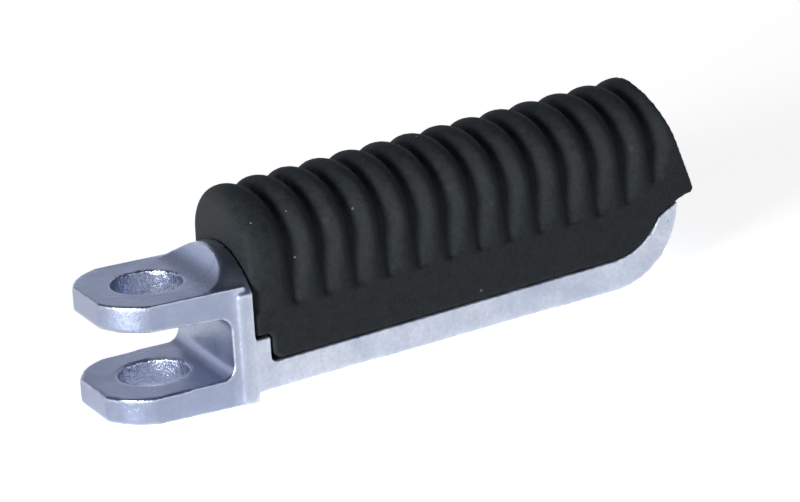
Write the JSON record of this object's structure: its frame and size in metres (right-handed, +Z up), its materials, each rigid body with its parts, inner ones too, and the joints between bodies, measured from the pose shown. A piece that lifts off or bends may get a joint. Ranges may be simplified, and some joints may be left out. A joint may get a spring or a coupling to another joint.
{
  "type": "foot peg",
  "caption": "Motorcycle foot peg: a cast aluminium clevis and tray with a ribbed rubber pad screwed on from below.",
  "frame": {"origin": "on the pivot bore's axis, midway between the two ears", "axes": "+Z up along the pivot bore, +X out along the clevis towards the pad's outer end; the pad turns 8.8 degrees from +X towards +Y"},
  "size_m": [0.1146, 0.0388, 0.033],
  "materials": {
    "cast_aluminium": "bright die-cast skin with fine pits",
    "pad_rubber": "matte moulded rubber",
    "zinc_plated_steel": "satin zinc plate"
  },
  "bodies": {
    "root": {"peg_casting": "cast_aluminium", "rubber_pad": "pad_rubber", "insert_plate": "zinc_plated_steel", "inner_weld_nut": "zinc_plated_steel", "outer_weld_nut": "zinc_plated_steel", "inner_pad_screw": "zinc_plated_steel", "outer_pad_screw": "zinc_plated_steel", "inner_spring_washer": "zinc_plated_steel", "outer_spring_washer": "zinc_plated_steel", "inner_flat_washer": "zinc_plated_steel", "outer_flat_washer": "zinc_plated_steel"}
  },
  "joints": []
}
